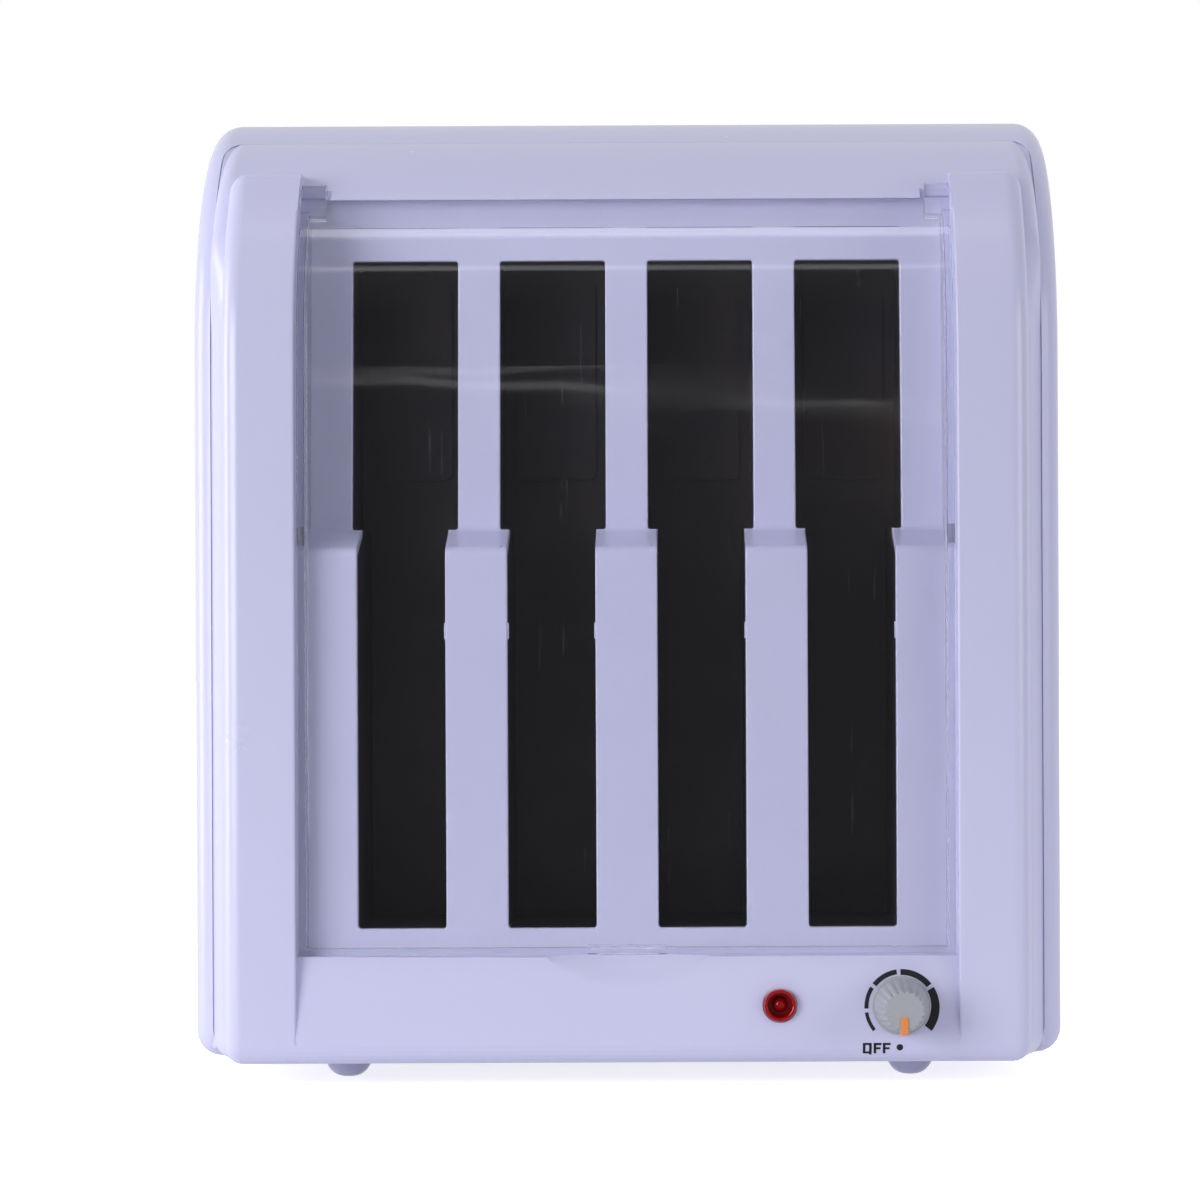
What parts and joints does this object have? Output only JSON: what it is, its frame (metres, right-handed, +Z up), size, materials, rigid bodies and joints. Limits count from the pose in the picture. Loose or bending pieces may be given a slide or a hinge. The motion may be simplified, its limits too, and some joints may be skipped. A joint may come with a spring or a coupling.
{
  "type": "roll-on wax heater",
  "caption": "Upright heater for roll-on wax cartridges: white case with a curved top, stepped heated slots behind a clear hinged lid, a pilot lamp and a heat knob.",
  "frame": {"origin": "centre of the bounding box's footprint, on the surface that the feet stand on", "axes": "+Z up, -Y out of the front with the lid and knob, +X to the right of someone facing the front"},
  "size_m": [0.2698, 0.1606, 0.3061],
  "materials": {
    "shell_plastic": "glossy injection-moulded white",
    "clear_plastic": "clear moulded plastic",
    "heater_coating": "satin black coating",
    "aluminium": "satin",
    "steel": "zinc plated",
    "dark_plastic": "moulded",
    "board": "circuit board with solder mask",
    "terminal_plastic": "moulded",
    "knob_plastic": "satin grey",
    "pointer_plastic": "orange inlay",
    "lamp_plastic": "translucent red"
  },
  "bodies": {
    "housing": {"front_case": "shell_plastic", "lower_slot_panel": "shell_plastic", "upper_slot_panel_left": "shell_plastic", "upper_slot_panel_right": "shell_plastic", "rear_case": "shell_plastic", "heater_well_1": "heater_coating", "heater_well_2": "heater_coating", "heater_well_3": "heater_coating", "heater_well_4": "heater_coating", "heating_element_1": "aluminium", "heating_element_2": "aluminium", "heating_element_3": "aluminium", "heating_element_4": "aluminium", "upper_clamp_bar": "steel", "lower_clamp_bar": "steel", "clamp_screws": "steel", "thermal_cutout": "dark_plastic", "control_board": "board", "board_screws": "steel", "terminal_block": "terminal_plastic", "potentiometer": "steel", "potentiometer_nut": "steel", "lamp_lens": "lamp_plastic", "lamp_holder": "dark_plastic", "lamp_clip": "steel", "foot_front_left": "shell_plastic", "foot_front_right": "shell_plastic", "foot_rear_left": "shell_plastic", "foot_rear_right": "shell_plastic", "case_screws": "steel", "cord_gland": "dark_plastic", "gland_nut": "dark_plastic"},
    "lid": {"lid": "clear_plastic"},
    "control_knob": {"knob": "knob_plastic", "knob_pointer": "pointer_plastic", "control_shaft": "aluminium"}
  },
  "joints": [
    {"name": "lid_hinge", "type": "hinge", "parent": "housing", "child": "lid", "pos_m": [0, -0.03975, 0.2752], "axis": [-1, 0, 0], "range_deg": [0, 190]},
    {"name": "knob_turn", "type": "hinge", "parent": "housing", "child": "control_knob", "pos_m": [0.0835, -0.06375, 0.0249], "axis": [0, 1, 0], "range_deg": [0, 300]}
  ]
}
